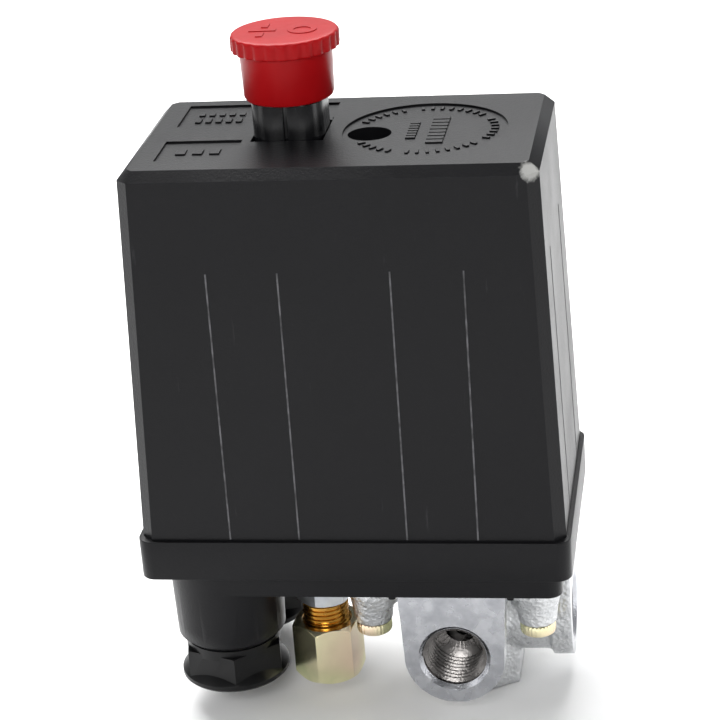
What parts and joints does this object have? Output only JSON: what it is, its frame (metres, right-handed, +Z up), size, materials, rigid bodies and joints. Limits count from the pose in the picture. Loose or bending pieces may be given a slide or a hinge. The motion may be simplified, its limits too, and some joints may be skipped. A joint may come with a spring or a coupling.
{
  "type": "pressure switch",
  "caption": "Compressor pressure switch: tapered box housing with push-pull knob, cast four-way air manifold, tube fitting for the bleed valve and cable glands below.",
  "frame": {"origin": "centre of the tank port's mouth, at the lower end of the manifold", "axes": "+Z up along the manifold's axis, +X to the right port, -Y to the front port"},
  "size_m": [0.088, 0.0536, 0.1418],
  "materials": {
    "housing": "moulded, fine texture",
    "black": "moulded",
    "gland": "satin nylon",
    "red": "glossy",
    "cast": "die cast",
    "yellow_zinc": "yellow zinc plated",
    "zinc": "zinc plated",
    "steel": "zinc plated sheet",
    "spring": "drawn wire",
    "brass": "turned",
    "rubber": "moulded"
  },
  "bodies": {
    "housing": {"base": "housing", "cover": "housing", "cover_screw": "zinc", "cover_pillar": "steel", "manifold": "cast", "manifold_screws": "yellow_zinc", "diaphragm": "rubber", "frame": "steel", "frame_bridge": "steel", "lever_pin": "steel", "rocker_pins": "steel", "main_spring": "spring", "differential_spring": "spring", "snap_spring": "spring", "bleed_spring": "spring", "terminal_block": "black", "block_screws": "zinc", "fixed_contacts": "brass", "terminal_screws": "zinc", "earth_screw": "zinc", "bleed_valve_body": "brass", "bleed_nut": "yellow_zinc", "bleed_olive": "brass", "bleed_lever_pin": "steel", "gland_washer_front": "gland", "gland_seal_front": "rubber", "gland_nut_front": "gland", "gland_washer_rear": "gland", "gland_seal_rear": "rubber", "gland_nut_rear": "gland"},
    "knob": {"knob": "red", "knob_stem": "black"},
    "bleed_lever": {"bleed_lever": "black"},
    "bleed_plunger": {"bleed_plunger": "brass"},
    "piston": {"piston": "cast"},
    "pressure_lever": {"pressure_lever": "steel"},
    "contact_rocker": {"contact_rocker": "black", "moving_contacts": "brass", "contact_springs": "spring"},
    "range_bolt": {"range_bolt": "zinc"},
    "spring_seat": {"spring_seat": "steel"},
    "differential_screw": {"differential_screw": "zinc"},
    "differential_nut": {"differential_nut": "zinc"}
  },
  "joints": [
    {"name": "knob_push", "type": "slide", "parent": "housing", "child": "knob", "axis": [0, 0, 1], "range_m": [-0.006, 0]},
    {"name": "bleed_lever_tilt", "type": "hinge", "parent": "housing", "child": "bleed_lever", "pos_m": [-0.0278, -0.019, 0.04425], "axis": [1, 0, 0], "range_deg": [-17, 0]},
    {"name": "bleed_plunger_slide", "type": "slide", "parent": "housing", "child": "bleed_plunger", "axis": [0, 0, 1], "range_m": [-0.002, 0], "deforming": ["bleed_spring"]},
    {"name": "piston_slide", "type": "slide", "parent": "housing", "child": "piston", "axis": [0, 0, 1], "range_m": [0, 0.0012], "stiffness_N_per_m": 6000},
    {"name": "lever_tilt", "type": "hinge", "parent": "housing", "child": "pressure_lever", "pos_m": [-0.0196, 0, 0.047], "axis": [0, -1, 0], "range_deg": [0, 3.6], "deforming": ["main_spring", "differential_spring", "snap_spring"]},
    {"name": "rocker_tilt", "type": "hinge", "parent": "housing", "child": "contact_rocker", "pos_m": [-0.0196, 0, 0.073], "axis": [0, 1, 0], "range_deg": [0, 6.1]},
    {"name": "range_bolt_turn", "type": "hinge", "parent": "housing", "child": "range_bolt", "pos_m": [0, 0, 0.081], "axis": [0, 0, 1], "range_deg": [-1085, 1085]},
    {"name": "spring_seat_slide", "type": "slide", "parent": "housing", "child": "spring_seat", "axis": [0, 0, 1], "range_m": [-0.003, 0.003]},
    {"name": "differential_screw_turn", "type": "hinge", "parent": "housing", "child": "differential_screw", "pos_m": [0.0134, 0, 0.081], "axis": [0, 0, 1], "range_deg": [-725, 725]},
    {"name": "differential_nut_slide", "type": "slide", "parent": "housing", "child": "differential_nut", "axis": [0, 0, 1], "range_m": [-0.0014, 0.0014]}
  ],
  "couplings": [
    {"joint": "bleed_lever_tilt", "follows": "knob_push", "rad_per_m": 48.781},
    {"joint": "bleed_plunger_slide", "follows": "knob_push", "ratio": 0.325},
    {"joint": "lever_tilt", "follows": "piston_slide", "rad_per_m": 51.02},
    {"joint": "rocker_tilt", "follows": "piston_slide", "rad_per_m": 87.266},
    {"joint": "range_bolt_turn", "follows": "spring_seat_slide", "rad_per_m": 6283.2},
    {"joint": "differential_screw_turn", "follows": "differential_nut_slide", "rad_per_m": 8976}
  ]
}
